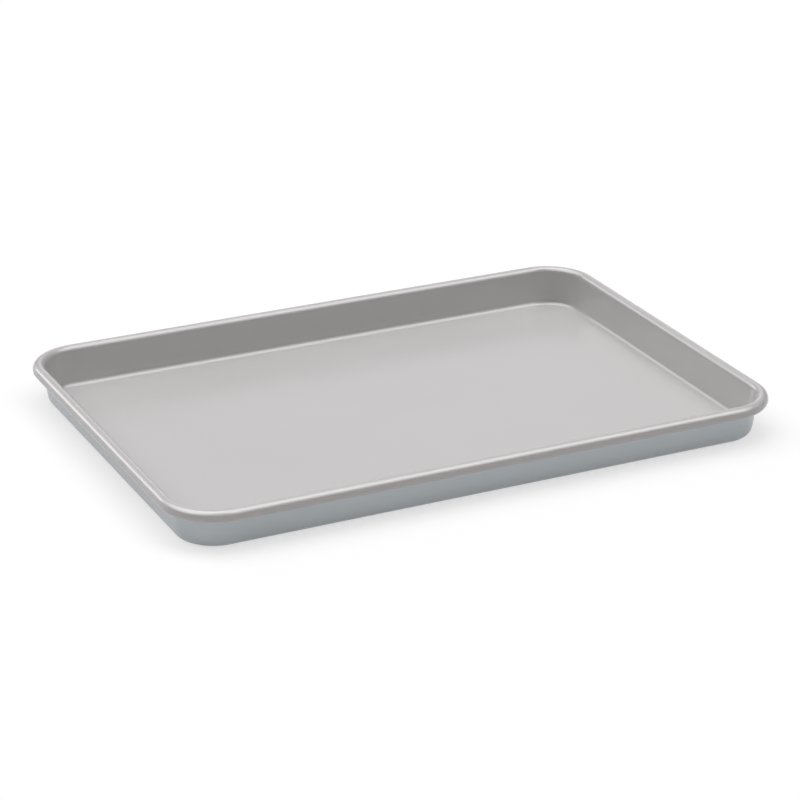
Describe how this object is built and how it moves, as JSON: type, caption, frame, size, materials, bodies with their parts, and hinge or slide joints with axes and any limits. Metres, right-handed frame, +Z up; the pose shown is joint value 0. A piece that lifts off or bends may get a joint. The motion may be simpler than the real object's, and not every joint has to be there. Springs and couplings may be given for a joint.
{
  "type": "jelly roll pan",
  "caption": "Shallow oblong baking pan with leaning walls, round corners and a wire-stiffened rolled rim, for sponge sheets, bars and biscuits.",
  "frame": {"origin": "middle of the flat underside, on the surface the pan stands on", "axes": "+X along the pan's length, +Y across its width, +Z up out of the pan"},
  "size_m": [0.4094, 0.2824, 0.0272],
  "materials": {
    "aluminised_steel": "satin, bare metal of the outer walls and the underside",
    "wire_steel": "drawn wire, hidden in the rim",
    "nonstick": "satin warm grey metallic non-stick coating"
  },
  "bodies": {
    "root": {"pressed_tray": "aluminised_steel", "rim_wire": "wire_steel", "nonstick_coating": "nonstick"}
  },
  "joints": []
}
